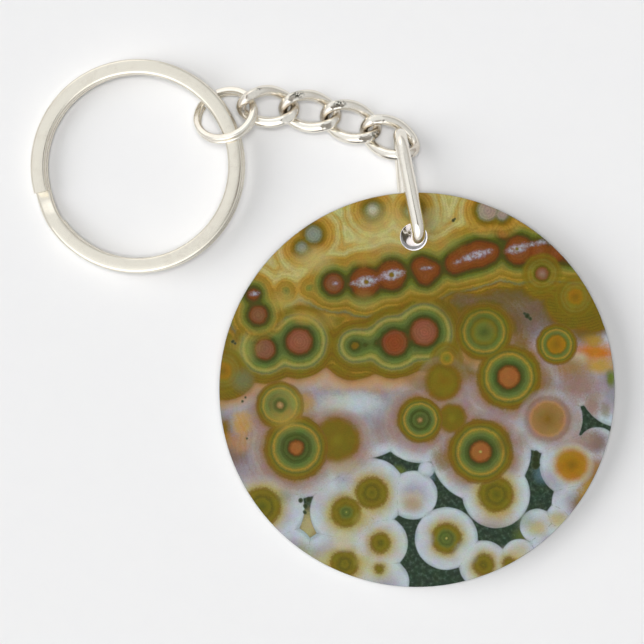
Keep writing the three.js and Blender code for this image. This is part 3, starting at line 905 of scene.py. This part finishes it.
def orb_rows(picture, maker):
    """The three rows of orbs in the gold field."""
    picture.paint(picture.wobbled(picture.rose, 0.16), [
        (-1.9, "rose_light"), (-0.5, "rose"), (-0.1, "red_dark"), (0.12, "olive_black"),
        (0.4, "leaf_dark"), (0.7, "fern"), (1.0, "moss"), (1.25, "yellow_green"), (1.4, "straw", 0.85),
        (1.6, "moss"), (1.8, "slate", 0.8), (2.0, "olive_light", 0.9), (2.3, "olive"),
        (2.6, "gold_dark"), (2.85, "olive", 0.9), (3.1, "gold_dark", 0.0),
    ], picture.ground)
    picture.paint(picture.wobbled(picture.red, 0.2), [
        (-1.9, "red_dusty"), (-0.5, "red"), (-0.12, "red_dark"), (0.12, "olive_black"),
        (0.4, "olive_dark"), (0.65, "moss"), (1.0, "yellow_green", 0.95), (1.35, "gold", 0.8),
        (1.6, "olive", 0.6), (1.9, "gold", 0.4), (2.4, "gold", 0.0),
    ], picture.ground)
    picture.paint(picture.wobbled(picture.grey, 0.15), [
        (-1.0, "grey"), (-0.3, "grey"), (0.0, "grey_shade"), (0.2, "slate"), (0.5, "olive"),
        (0.8, "gold_dark"), (1.2, "gold"), (1.5, "gold_light", 0.8), (1.8, "gold", 0.5),
        (2.0, "gold_light", 0.5), (2.7, "straw", 0.0),
    ], picture.ground)
    picture.cores("Blue Grey Cores", [(-13.3, 20, 0.75), (-14.8, 18.3, 0.4)], [
        (-0.6, "blue_grey"), (-0.1, "blue_grey", 0.9), (0.5, "slate", 0.0),
    ])
    picture.cores("Pink Grey Cores", [(9, 23.1, 1.15), (10.9, 22.6, 0.6)], [
        (-1.0, "pink_grey"), (-0.2, "pink_grey", 0.95), (0.3, "grey_shade", 0.0),
    ])
    picture.cores("Ember Core", [(-2.9, 6.1, 1.4)], [
        (-1.4, "ember"), (-0.3, "ember", 0.9), (0.0, "red_dark", 0.0),
    ])
    picture.cores("Dull Rose Cores", [(-19.5, 5.3, 1.3), (-10.7, 13.7, 1.2), (-20.4, 9.7, 1.1)], [
        (-1.4, "dull_rose"), (-0.3, "dull_rose", 0.6), (0.0, "red_dark", 0.0),
    ])
    picture.growth_lines(picture.nearest, 0.37, 0.1, picture.ground)
    picture.stain(FIELD_STAINS_AND_LIGHT, picture.ground)


def targets(picture, maker):
    """Targets with their rings, and plain olive orbs."""
    ringed = picture.orbs("Targets", TARGETS, 0.0, by_share=True)
    picture.paint(picture.wobbled(ringed, 0.045), [
        (0.0, "moss"), (0.3, "fern"), (0.38, "olive_black"), (0.46, "leaf_dark"), (0.54, "fern"),
        (0.62, "moss"), (0.67, "yellow_green"), (0.71, "gold"), (0.75, "yellow_green"),
        (0.79, "leaf_dark"), (0.83, "olive_light"), (0.88, "olive"), (0.92, "gold_dark"),
        (0.96, "bronze", 0.9), (1.0, "loam", 0.75), (1.06, "tan", 0.0),
    ])
    picture.growth_lines(ringed, 0.085, 0.08, maker.fade(ringed, 0.98, 1.0, 1.0, 0.0))
    faint = picture.orbs("Faint Targets", FAINT_TARGETS, 0.0, by_share=True)
    picture.paint(picture.wobbled(faint, 0.08), [
        (0.0, "gold_dark"), (0.3, "amber"), (0.42, "olive_light"), (0.5, "yellow_green"),
        (0.6, "gold_dark"), (0.68, "yellow_green"), (0.76, "olive"), (0.84, "gold_dark"),
        (0.92, "olive_light"), (1.0, "olive", 0.7), (1.1, "olive", 0.0),
    ], 0.75)
    plain = picture.orbs("Olive Orbs", OLIVE_ORBS, 0.0, by_share=True)
    picture.paint(picture.wobbled(plain, 0.06), [
        (0.0, "olive_light"), (0.4, "olive"), (0.75, "olive"), (0.88, "gold_dark", 0.85),
        (1.0, "bronze", 0.55), (1.12, "mauve", 0.35), (1.3, "mauve_light", 0.3),
        (1.5, "mauve_light", 0.0),
    ], maker.fade(ringed, 0.99, 1.01))
    picture.stain(TARGET_STAINS, 1.0)
    picture.cores("Rust Cores", [(11.8, 1.7, 1.45), (8.2, -7.9, 1.4), (-15.5, -7.4, 1.0)], [
        (-1.4, "rust_light"), (-1.1, "rust"), (-0.4, "rust_light"), (-0.08, "red_dark"),
        (0.12, "olive_black"), (0.35, "leaf_dark", 0.7), (0.65, "fern", 0.0),
    ])
    picture.cores("Golden Orb", [(3.3, 1.1, 2.0)], [
        (-1.9, "gold_dark"), (-0.6, "olive_light", 0.7), (0.1, "olive", 0.0),
    ])
    picture.cores("Pink Cores", [(0.4, -3.8, 0.34), (-17.6, -1.9, 0.46)], [
        (-0.5, "peach_light"), (-0.12, "tan"), (0.1, "leaf_dark"), (0.35, "leaf_dark", 0.8),
        (0.75, "fern", 0.0),
    ])
    picture.cores("Dull Red Core", [(16.0, 15.0, 0.85)], [
        (-0.8, "mauve"), (-0.1, "red"), (0.12, "olive_dark"), (0.5, "olive", 0.0),
    ])
    picture.cores("Green Core", [(8.6, 7.5, 1.5)], [
        (-1.5, "leaf_dark"), (-0.5, "moss"), (0.0, "olive_light", 0.8), (0.5, "olive", 0.0),
    ])
    picture.cores("Amber Core", [(17.9, 5.9, 1.15)], [
        (-1.1, "gold_dark"), (-0.1, "amber"), (0.1, "olive", 0.9), (0.4, "moss", 0.0),
    ])
    picture.cores("Moss Core", [(3.8, 4.1, 0.85)], [
        (-0.8, "moss"), (-0.45, "olive_light"), (-0.1, "gold"), (0.3, "olive", 0.0),
    ])
    picture.cores("Leaf Cores", [(-9.1, -15.7, 0.75), (3.8, -19.1, 1.1)], [
        (-1.0, "leaf_dark"), (-0.6, "moss"), (-0.3, "leaf_dark"), (0.0, "moss", 0.9),
        (0.35, "olive_light", 0.0),
    ])
    picture.cores("Tan Orb", [(16.8, -3.7, 2.15)], [
        (-2.1, "gold_dark"), (-0.8, "tan"), (-0.2, "tan"), (0.05, "peach"), (0.35, "mauve", 0.9),
        (0.7, "dull_rose", 0.6), (1.0, "mauve_light", 0.6), (1.5, "lilac", 0.2), (1.9, "lilac", 0.0),
    ])
    picture.cores("Amber Orb", [(19.9, -9.6, 1.9)], [
        (-1.9, "gold_dark"), (-0.9, "amber"), (-0.2, "amber"), (0.1, "peach", 0.95),
        (0.5, "cream", 0.7), (1.1, "white", 0.0),
    ])


def streaks(picture, maker):
    """White streaks along the red row, on places turned with it and squeezed."""
    cos, sin = math.cos(ROW_TILT), math.sin(ROW_TILT)
    along = maker.node(
        "ShaderNodeCombineXYZ",
        {
            "X": maker.vector("DOT_PRODUCT", picture.near, (cos * 0.5, sin * 0.5, 0.0)),
            "Y": maker.vector("DOT_PRODUCT", picture.near, (-sin, cos, 0.0)),
        },
    ).outputs[0]
    places = [((x * cos + y * sin) * 0.5, y * cos - x * sin, r) for x, y, r in STREAKS]
    streak = picture.orbs("Streaks", places, 0.25, along)
    picture.paint(picture.wobbled(streak, 0.35), [
        (-0.4, "white"), (-0.12, "lilac"), (0.04, "lilac_grey", 0.8), (0.2, "red_dusty", 0.35),
        (0.4, "red", 0.0),
    ], maker.fade(picture.fibre, 0.36, 0.6, 0.25, 0.9))
    picture.cores("Streak Eyes", [(-6.5, 13.95, 0.26), (-3.3, 14.85, 0.32), (12.8, 18.15, 0.2)], [
        (-0.25, "gold_dark"), (-0.05, "olive"), (0.08, "mauve", 0.4), (0.16, "lilac", 0.0),
    ], 0.05)
    picture.cores("Dark Eye", [(-7.9, 5.7, 0.42)], [
        (-0.3, "bronze"), (0.0, "olive"), (0.15, "olive_black"), (0.4, "leaf_dark", 0.6),
        (0.7, "fern", 0.0),
    ])


def hollows(picture, maker):
    """Dark hollows, and the light eyes of some orbs."""
    pits = picture.orbs("Pits", PITS, 0.25, picture.wavy)
    picture.paint(pits, [(-0.2, "pit"), (0.0, "matrix", 0.9), (0.12, "slate", 0.0)])
    picture.cores("Light Eyes", [(3.8, -19.1, 0.17), (-9.1, -15.7, 0.1), (8.2, -7.9, 0.2)], [
        (-0.1, "straw"), (0.08, "moss", 0.0),
    ], 0.0)


def polished(picture, maker):
    """The finished colour, with its grain and mottling, less what the ink's gloss adds."""
    shade = maker.fade(picture.grain, 0.0, 1.0, 0.78, 1.22, curve="LINEAR")
    grained = maker.vector("SCALE", picture.color, shade)
    hues = maker.noise(picture.place, 1.3, 4.0, 0.65, "Color")
    mottle = maker.vector("MULTIPLY_ADD", hues, (0.5,) * 3, (0.75,) * 3)
    mottled = maker.vector("MULTIPLY", grained, mottle)
    deepened = maker.vector("MULTIPLY_ADD", mottled, PRINT_GAIN, (-GLOSS_LIFT,) * 3)
    return maker.vector("MAXIMUM", deepened, (0.002,) * 3)


def stone_group():
    """Group: the whole picture of the polished stone, from a place in mm."""
    tree, maker, entry = new_group("Stone Picture", [("Place", "Vector")], [("Color", "Color")])
    picture = Picture(maker, entry["Place"])
    for layer in (
        white_stone, rim_seams, target_halos, basins, gold_field, orb_rows, targets, streaks, hollows
    ):
        layer(picture, maker)
    close_group(maker, Color=polished(picture, maker))
    return tree


# ---------------------------------------------------------------- materials


def new_material(name, viewport_hex):
    material = bpy.data.materials.new(name)
    material.use_nodes = True
    material.node_tree.nodes.clear()
    material.diffuse_color = linear(viewport_hex)
    return material, Tree(material.node_tree)


def shaded(material, maker, values, height, bump_mm, bump_strength):
    """Closes a material with its shader's values and with a bump from a height."""
    bump = maker.node(
        "ShaderNodeBump", {"Strength": bump_strength, "Distance": bump_mm * MM, "Height": height}
    )
    values = {**values, "Normal": bump.outputs[0]}
    shader = maker.node("ShaderNodeBsdfPrincipled", values)
    exit_node = maker.node("ShaderNodeOutputMaterial")
    maker.tree.links.new(shader.outputs["BSDF"], exit_node.inputs["Surface"])
    return material


def millimetres(maker):
    """A piece's own coordinates, in mm."""
    coordinates = maker.node("ShaderNodeTexCoord").outputs["Object"]
    return maker.vector("SCALE", coordinates, 1 / MM)


def wear_group():
    """Group: soft tarnished patches, uneven polish and fine drawing lines of plated wire; the patches
    also break up the painted shade at the links' bends.
    """
    inputs = [("Place", "Vector"), ("Along", "Vector")]
    outputs = [("Tarnish", "Float"), ("Roughness", "Float"), ("Height", "Float")]
    tree, maker, entry = new_group("Plated Wear", inputs, outputs)
    cloudy = maker.noise(entry["Place"], 2.6, 3.0)
    spotted = maker.noise(entry["Place"], 0.45, 3.0)
    hairlines = maker.noise(entry["Along"], 1.0, 2.0)
    tarnish_and_shade = maker.fade(maker.math("MULTIPLY_ADD", spotted, 0.4, cloudy), 0.62, 1.02)
    roughness = maker.fade(maker.plus(cloudy, hairlines), 0.7, 1.3, 0.09, 0.24)
    height = maker.math("MULTIPLY_ADD", hairlines, 0.35, spotted)
    close_group(maker, Tarnish=tarnish_and_shade, Roughness=roughness, Height=height)
    return tree


# Dark, crumpled-looking patches painted on the links' shoulders, in the stains' form
DARK_SHOULDER_MARKS = [
    (-3.2, 29.4, 0.85, "pit", 1, 1.8), (2.3, 28.2, 0.85, "pit", 1, 1.6),
    (-8.1, 30, 0.4, "pit", 0.9, 1.6), (6.9, 24.2, 0.9, "pit", 0.8, 1),
]
# How close the drawing lines lie round and along each wire, and how strongly the darker plating colour
# is painted at the links' bends, where they cross, as painted shade with tarnished plating
CONNECTOR_LINES = (3.0, 24.0, 1.0)
CHAIN_LINES = (3.0, 20.0, 1.0)
JUMP_LINES = (8.0, 10.0, 1.0)
SPLIT_LINES = (6.0, 40.0, 1.0)
BEND_SHADE_AND_TARNISH = 0.42


def plated_metal(name, lines, base, finish, bend_shade_and_tarnish=0.0, marks=()):
    """Bright nickel, with drawing lines along the wire, painted shade with tarnished plating at the
    bends where links cross, and any dark patches given.
    """
    material, maker = new_material(name, "d9d6cc")
    place = millimetres(maker)
    spread = maker.node("ShaderNodeUVMap").outputs[0]
    along = maker.vector("MULTIPLY", spread, lines)
    wear = placed(maker, shared("Plated Wear", wear_group), Place=place, Along=along)
    plating, tarnish_and_shade = (*base, 1.0), (*finish.tarnish_and_shade, 1.0)
    amount = maker.times(wear["Tarnish"], 0.12)
    # Painted shade with tarnished plating: the links' bends, where they cross each other, get more of
    # the darker plating colour
    if bend_shade_and_tarnish:
        round_wire = maker.node("ShaderNodeSeparateXYZ", {0: spread}).outputs["X"]
        bend = maker.math("ABSOLUTE", maker.math("SINE", maker.times(round_wire, TURN)))
        bend = maker.math("MULTIPLY_ADD", wear["Tarnish"], 0.2, bend)
        amount = maker.plus(amount, maker.fade(bend, 0.82, 1.15, 0.0, bend_shade_and_tarnish))
    color = maker.mix(amount, plating, tarnish_and_shade)
    broken_up = maker.fade(maker.noise(place, 0.22, 2.0), 0.42, 0.56)
    # Dark patches on the links' shoulders, broken up by noise
    for mark in marks:
        color = soft_stain(maker, color, place, 0.0, broken_up, mark)
    values = {"Base Color": color, "Metallic": 1.0, "Roughness": wear["Roughness"]}
    return shaded(material, maker, values, wear["Height"], 0.01, 0.12)


def clear_acrylic():
    """Clear sheet with the faint ripples of a laser cut round its edge."""
    material, maker = new_material("Clear Acrylic", "e4e8ea")
    place = millimetres(maker)
    ripple = maker.noise(maker.vector("MULTIPLY", place, (3.0, 3.0, 0.25)), 1.0, 2.0)
    tint = maker.mix(maker.noise(place, 6.0, 2.0), linear("f4f8f8"), linear("fafcfa"))
    values = {"Base Color": tint, "Roughness": 0.04, "IOR": 1.49, "Transmission Weight": 1.0}
    return shaded(material, maker, values, ripple, 0.02, 0.15)


def stone_print():
    """The printed picture of polished stone, laid out in mm by the piece's UV map."""
    material, maker = new_material("Stone Print", "9a8433")
    spread = maker.node("ShaderNodeUVMap").outputs[0]
    span, half = (PRINT_SPAN, PRINT_SPAN, 0.0), (-PRINT_SPAN / 2, -PRINT_SPAN / 2, 0.0)
    place = maker.vector("MULTIPLY_ADD", spread, span, half)
    picture = placed(maker, shared("Stone Picture", stone_group), Place=place)
    mottle = maker.noise(place, 0.3, 2.0)
    roughness = maker.fade(mottle, 0.2, 0.8, 0.3, 0.4)
    values = {"Base Color": picture["Color"], "Specular IOR Level": 0.25, "Roughness": roughness}
    return shaded(material, maker, values, mottle, 0.01, 0.1)


def plain_surface(name, base, spotted, spot_size, roughness, bump_mm, painted_glow=0.0):
    """A matt surface in one faintly uneven colour, with an optional painted glow: emission that stands
    in for the light that clear sheet carries.
    """
    material, maker = new_material(name, "f0f0f0")
    noise = maker.noise(millimetres(maker), spot_size, 4.0)
    color = maker.mix(noise, base, spotted)
    values = {
        "Base Color": color,
        "Roughness": maker.fade(noise, 0.2, 0.8, roughness - 0.05, roughness + 0.05),
        # Painted glow: the surface gives out its own colour as emission
        "Emission Color": color, "Emission Strength": painted_glow,
    }
    return shaded(material, maker, values, noise, bump_mm, 0.2)


def shared(name, make):
    return bpy.data.node_groups.get(name) or make()


def covered(obj, *materials):
    obj.data.materials.clear()
    for material in materials:
        obj.data.materials.append(material)


def surroundings(base):
    """What the metal and the clear sheet show around them. It gives matt surfaces no light."""
    world = bpy.data.worlds.new("Studio")
    world.use_nodes = True
    world.cycles_visibility.diffuse = False
    world.node_tree.nodes.clear()
    maker = Tree(world.node_tree)
    direction = maker.node("ShaderNodeTexCoord").outputs["Generated"]
    parts = maker.node("ShaderNodeSeparateXYZ", {0: direction}).outputs
    color = maker.mix(maker.fade(parts["Z"], 0.1, 0.8), linear(SKY_LOW), linear(SKY_HIGH))
    brightness = maker.fade(parts["X"], -0.3, 0.45, LEFT_GAIN * base, RIGHT_GAIN * base)
    for towards, rim, middle, gain in WINDOWS:
        window = maker.vector("DOT_PRODUCT", direction, towards)
        window = maker.fade(window, rim, middle, 1.0, gain)
        brightness = maker.times(brightness, window)
    sky = maker.node("ShaderNodeBackground", {"Color": color, "Strength": brightness})
    exit_node = maker.node("ShaderNodeOutputWorld")
    world.node_tree.links.new(sky.outputs[0], exit_node.inputs["Surface"])
    return world


# ---------------------------------------------------------------- the pieces


def clear_slab(charm, hole_y):
    """The clear sheet between the two printed faces, frosted inside its hole, where the wall has a
    painted glow.
    """
    slab = annulus("charm_acrylic", charm.diameter / 2, charm.hole / 2, hole_y)
    modified(slab, "SOLIDIFY", thickness=charm.thickness - 2 * charm.ink, offset=1.0)
    modified(slab, "BEVEL", width=charm.edge_break, segments=3, limit_method="ANGLE")
    pale, paler = linear("d8d6e0"), linear("ececf0")
    # The frosted wall glows with painted light, standing in for light carried through the sheet
    wall = plain_surface("Frosted Cut", pale, paler, 0.4, 0.6, 0.01, WALL_GLOW)
    covered(slab, clear_acrylic(), wall)
    for face in slab.data.polygons:
        reach = math.hypot(face.center.x, face.center.y - hole_y)
        if reach < charm.hole / 2 + charm.edge_break:
            face.material_index = 1
    return slab


def lay_out(sheet, side):
    """Spreads the picture over the outer face and leaves the other faces plain ink."""
    mesh = sheet.data
    layer = mesh.uv_layers.new(name="Picture") if not mesh.uv_layers else mesh.uv_layers[0]
    bearing = math.radians(CHARM_PLACE["hole_bearing"] - 90)
    cos, sin = math.cos(bearing), math.sin(bearing)
    for face in mesh.polygons:
        face.material_index = 0 if face.normal.z * side > 0.5 else 1
        for loop in face.loop_indices:
            spot = mesh.vertices[mesh.loops[loop].vertex_index].co
            x = (spot.x * cos - spot.y * sin) * side
            y = spot.x * sin + spot.y * cos
            layer.data[loop].uv = (x / MM / PRINT_SPAN + 0.5, y / MM / PRINT_SPAN + 0.5)


def printed_sheet(name, side, charm, hole_y, *materials):
    """The ink on one of the charm's faces: the picture outside, plain ink elsewhere."""
    margin = charm.edge_break + charm.rim_margin
    sheet = annulus(name, charm.diameter / 2 - margin, charm.hole / 2 + margin, hole_y)
    modified(sheet, "SOLIDIFY", thickness=charm.ink + PRINT_OVERLAP, offset=1.0)
    covered(sheet, *materials)
    lay_out(sheet, side)
    return sheet


class KEYCHAIN_OT_add_charm(bpy.types.Operator):
    """Add the acrylic disc with a printed picture of stone on each face"""

    bl_idname = "keychain.add_charm"
    bl_label = "Add Charm"

    def execute(self, context):
        charm = context.scene.keychain_charm
        radius = charm.diameter / 2
        hole_y = radius - charm.hole_to_rim - charm.hole / 2
        slab = clear_slab(charm, hole_y)
        picture = stone_print()
        white = plain_surface("White Ink", linear("e8e8e4"), linear("f0f0ee"), 0.5, 0.5, 0.01)
        front = printed_sheet("charm_print_front", 1, charm, hole_y, picture, white)
        back = printed_sheet("charm_print_back", -1, charm, hole_y, picture, white)
        front_base = charm.thickness - charm.ink - PRINT_OVERLAP
        lean = turned(CHARM_PLACE["tilt"], 0, CHARM_PLACE["hole_bearing"] - 90)
        rim = lean @ Vector((0.0, radius, 0.0))
        lying = at(CHARM_PLACE["x"], CHARM_PLACE["y"], 0) @ lean
        standing = Matrix.Translation((-rim.x, -rim.y, 0.0)) @ lying
        for piece, base in ((slab, charm.ink), (front, front_base), (back, 0.0)):
            put(piece, standing @ Matrix.Translation((0.0, radius, base)))
            smooth(piece)
            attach(piece, "disc")
            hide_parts("charm_disc")
        return {"FINISHED"}


class KEYCHAIN_OT_add_connector(bpy.types.Operator):
    """Add the thick oval loop between the charm and the chain"""

    bl_idname = "keychain.add_connector"
    bl_label = "Add Connector"

    def execute(self, context):
        loop = context.scene.keychain_connector
        half_length = (loop.length - loop.wire) / 2
        half_width = (loop.width - loop.wire) / 2
        shoulder_x = loop.shoulder - half_length
        shoulder_y = half_width - loop.shoulder
        circles = [
            (shoulder_x, -shoulder_y, loop.shoulder), (half_length - loop.nose, 0.0, loop.nose),
            (shoulder_x, shoulder_y, loop.shoulder),
        ]
        connector = twisted_link("connector_loop", even(belt(circles), 220), loop, 1)
        place = CONNECTOR_PLACE
        lie = turned(90 + place["lean"], -place["slope"], place["heading"])
        put(connector, at(*place["at"]) @ lie)
        smooth(connector)
        finish = context.scene.keychain_finish
        plating = plated_metal("Connector Plating", CONNECTOR_LINES, finish.chain_plating, finish)
        covered(connector, plating)
        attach(connector, "connector")
        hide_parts("connector_link")
        return {"FINISHED"}


class KEYCHAIN_OT_add_chain(bpy.types.Operator):
    """Add the four twisted curb links"""

    bl_idname = "keychain.add_chain"
    bl_label = "Add Chain"

    def execute(self, context):
        chain = context.scene.keychain_chain
        half_length = (chain.length - chain.wire) / 2
        half_width = (chain.width - chain.wire) / 2
        outline = even(four_arc_oval(half_length, half_width, chain.end_radius), 180)
        model = twisted_link("curb_link", outline, chain, 2)
        highest = max(vertex.co.z for vertex in model.data.vertices)
        press(model, highest - chain.facet)
        finish = context.scene.keychain_finish
        plating = plated_metal(
            "Chain Plating", CHAIN_LINES, finish.chain_plating, finish, BEND_SHADE_AND_TARNISH, DARK_SHOULDER_MARKS
        )
        covered(model, plating)
        centre = FIRST_LINK.copy()
        for i, lie in enumerate(LINK_PLACES):
            heading = math.radians(lie["heading"])
            half_step = Vector((math.cos(heading), math.sin(heading), 0.0)) * chain.spacing / 2
            if i > 0:
                centre += half_step / MM
            link = named(model.copy(), f"curb_link_{i + 1}")
            link.data = model.data.copy()
            context.collection.objects.link(link)
            place = at(centre.x, centre.y, lie["height"])
            put(link, place @ turned(lie["roll"], -lie["slope"], lie["heading"]))
            smooth(link, 20)
            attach(link, f"link_{i + 1}")
            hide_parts(f"chain_link_{i + 1}")
            centre += half_step / MM
        bpy.data.objects.remove(model)
        return {"FINISHED"}


class KEYCHAIN_OT_add_jump_ring(bpy.types.Operator):
    """Add the small ring of thin wire in two coils"""

    bl_idname = "keychain.add_jump_ring"
    bl_label = "Add Jump Ring"

    def execute(self, context):
        ring = context.scene.keychain_jump_ring
        jump_ring = coiled("jump_ring_wire", ring, JUMP_WINDING)
        bearing = math.radians(JUMP_PLACE["bearing"])
        axis = Vector((math.sin(bearing), -math.cos(bearing), 0.0))
        lean = Matrix.Rotation(math.radians(JUMP_PLACE["tilt"]), 4, axis)
        put(jump_ring, at(*JUMP_PLACE["at"]) @ lean)
        smooth(jump_ring)
        finish = context.scene.keychain_finish
        plating = plated_metal("Jump Ring Plating", JUMP_LINES, finish.chain_plating, finish)
        covered(jump_ring, plating)
        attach(jump_ring, "small_ring")
        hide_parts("jump_ring")
        return {"FINISHED"}


class KEYCHAIN_OT_add_split_ring(bpy.types.Operator):
    """Add the key ring of flat wire in two coils"""

    bl_idname = "keychain.add_split_ring"
    bl_label = "Add Split Ring"

    def execute(self, context):
        ring = context.scene.keychain_split_ring
        split_ring = coiled("split_ring_wire", ring, SPLIT_WINDING)
        tilt = math.radians(SPLIT_PLACE["tilt"])
        half_height = ring.coil + ring.coil_gap / 2
        height = ring.diameter / 2 * math.sin(tilt) + half_height * math.cos(tilt)
        place = at(SPLIT_PLACE["x"], SPLIT_PLACE["y"], height / MM)
        put(split_ring, place @ turned(0, -SPLIT_PLACE["tilt"], 0))
        smooth(split_ring)
        finish = context.scene.keychain_finish
        plating = plated_metal("Split Ring Plating", SPLIT_LINES, finish.plating, finish)
        covered(split_ring, plating)
        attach(split_ring, "key_ring")
        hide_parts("split_ring")
        return {"FINISHED"}


class KEYCHAIN_OT_set_stage(bpy.types.Operator):
    """Set the table, the lights and the camera"""

    bl_idname = "keychain.set_stage"
    bl_label = "Set Stage"

    def execute(self, context):
        stage = context.scene.keychain_stage
        scene = context.scene
        scene.view_settings.view_transform = "Standard"

        bpy.ops.object.select_all(action="DESELECT")
        bpy.ops.mesh.primitive_plane_add(size=TABLE_SIZE, location=(0.0, 0.0, -TABLE_DROP))
        table = named(context.object, "table_top")
        color = (*scene.keychain_finish.table, 1.0)
        covered(table, plain_surface("Table Top", color, linear("eeeeef"), 3.0, 0.6, 0.02))

        # What stands round the camera, dark in the metal's flats
        bpy.ops.object.select_all(action="DESELECT")
        bpy.ops.mesh.primitive_circle_add(
            vertices=48, radius=CARD_RADIUS, fill_type="NGON", location=CARD_PLACE
        )
        card = named(context.object, "camera_card")
        card.visible_camera = False
        card.visible_shadow = False
        covered(card, plain_surface("Camera Card", linear("88827a"), linear("928c84"), 20.0, 0.8, 0.02))

        for name, spread, source in SOFT_LIGHTS:
            bpy.ops.object.light_add(type="SUN", location=source)
            light = context.object
            light.name = name
            light.visible_glossy = False
            light.data.energy = getattr(stage, name)
            light.data.angle = spread
            light.rotation_euler = source.to_track_quat("Z", "Y").to_euler()
        scene.world = surroundings(stage.surroundings)

        bpy.ops.object.camera_add(location=(0.0, CAMERA_OFFSET, stage.camera_height))
        camera = context.object
        camera.name = "camera"
        camera.rotation_euler = (0.0, 0.0, 0.0)
        camera.data.sensor_width = SENSOR_WIDTH
        camera.data.lens = SENSOR_WIDTH * (stage.camera_height - FACE_HEIGHT) / stage.view_width
        camera.data.clip_start = 0.01
        scene.camera = camera
        return {"FINISHED"}


PIECE_OPERATORS = (
    KEYCHAIN_OT_add_split_ring, KEYCHAIN_OT_add_jump_ring, KEYCHAIN_OT_add_chain,
    KEYCHAIN_OT_add_connector, KEYCHAIN_OT_add_charm, KEYCHAIN_OT_set_stage,
)

SETTINGS = {
    "keychain_charm": KeychainCharmSettings, "keychain_connector": KeychainConnectorSettings,
    "keychain_chain": KeychainChainSettings, "keychain_jump_ring": KeychainJumpRingSettings,
    "keychain_split_ring": KeychainSplitRingSettings, "keychain_finish": KeychainFinishSettings,
    "keychain_stage": KeychainStageSettings,
}


class KEYCHAIN_PT_pieces(bpy.types.Panel):
    """Lists the keychain's pieces and their sizes"""

    bl_idname = "KEYCHAIN_PT_pieces"
    bl_label = "Keychain"
    bl_space_type = "VIEW_3D"
    bl_region_type = "UI"
    bl_category = "Keychain"

    def draw(self, context):
        layout = self.layout
        for operator in PIECE_OPERATORS:
            layout.operator(operator.bl_idname)
        for name, group in SETTINGS.items():
            box = layout.box()
            box.label(text=name.removeprefix("keychain_").replace("_", " ").title())
            for setting in group.__annotations__:
                box.prop(getattr(context.scene, name), setting)


def register():
    for cls in (*SETTINGS.values(), *PIECE_OPERATORS, KEYCHAIN_PT_pieces):
        bpy.utils.register_class(cls)
    for name, group in SETTINGS.items():
        setattr(bpy.types.Scene, name, bpy.props.PointerProperty(type=group))


def unregister():
    for name in SETTINGS:
        delattr(bpy.types.Scene, name)
    for cls in (KEYCHAIN_PT_pieces, *reversed(PIECE_OPERATORS), *reversed(SETTINGS.values())):
        bpy.utils.unregister_class(cls)


def main():
    register()
    bpy.ops.keychain.set_stage()
    bpy.ops.keychain.add_split_ring()
    bpy.ops.keychain.add_jump_ring()
    bpy.ops.keychain.add_chain()
    bpy.ops.keychain.add_connector()
    bpy.ops.keychain.add_charm()


if __name__ == "__main__":
    main()
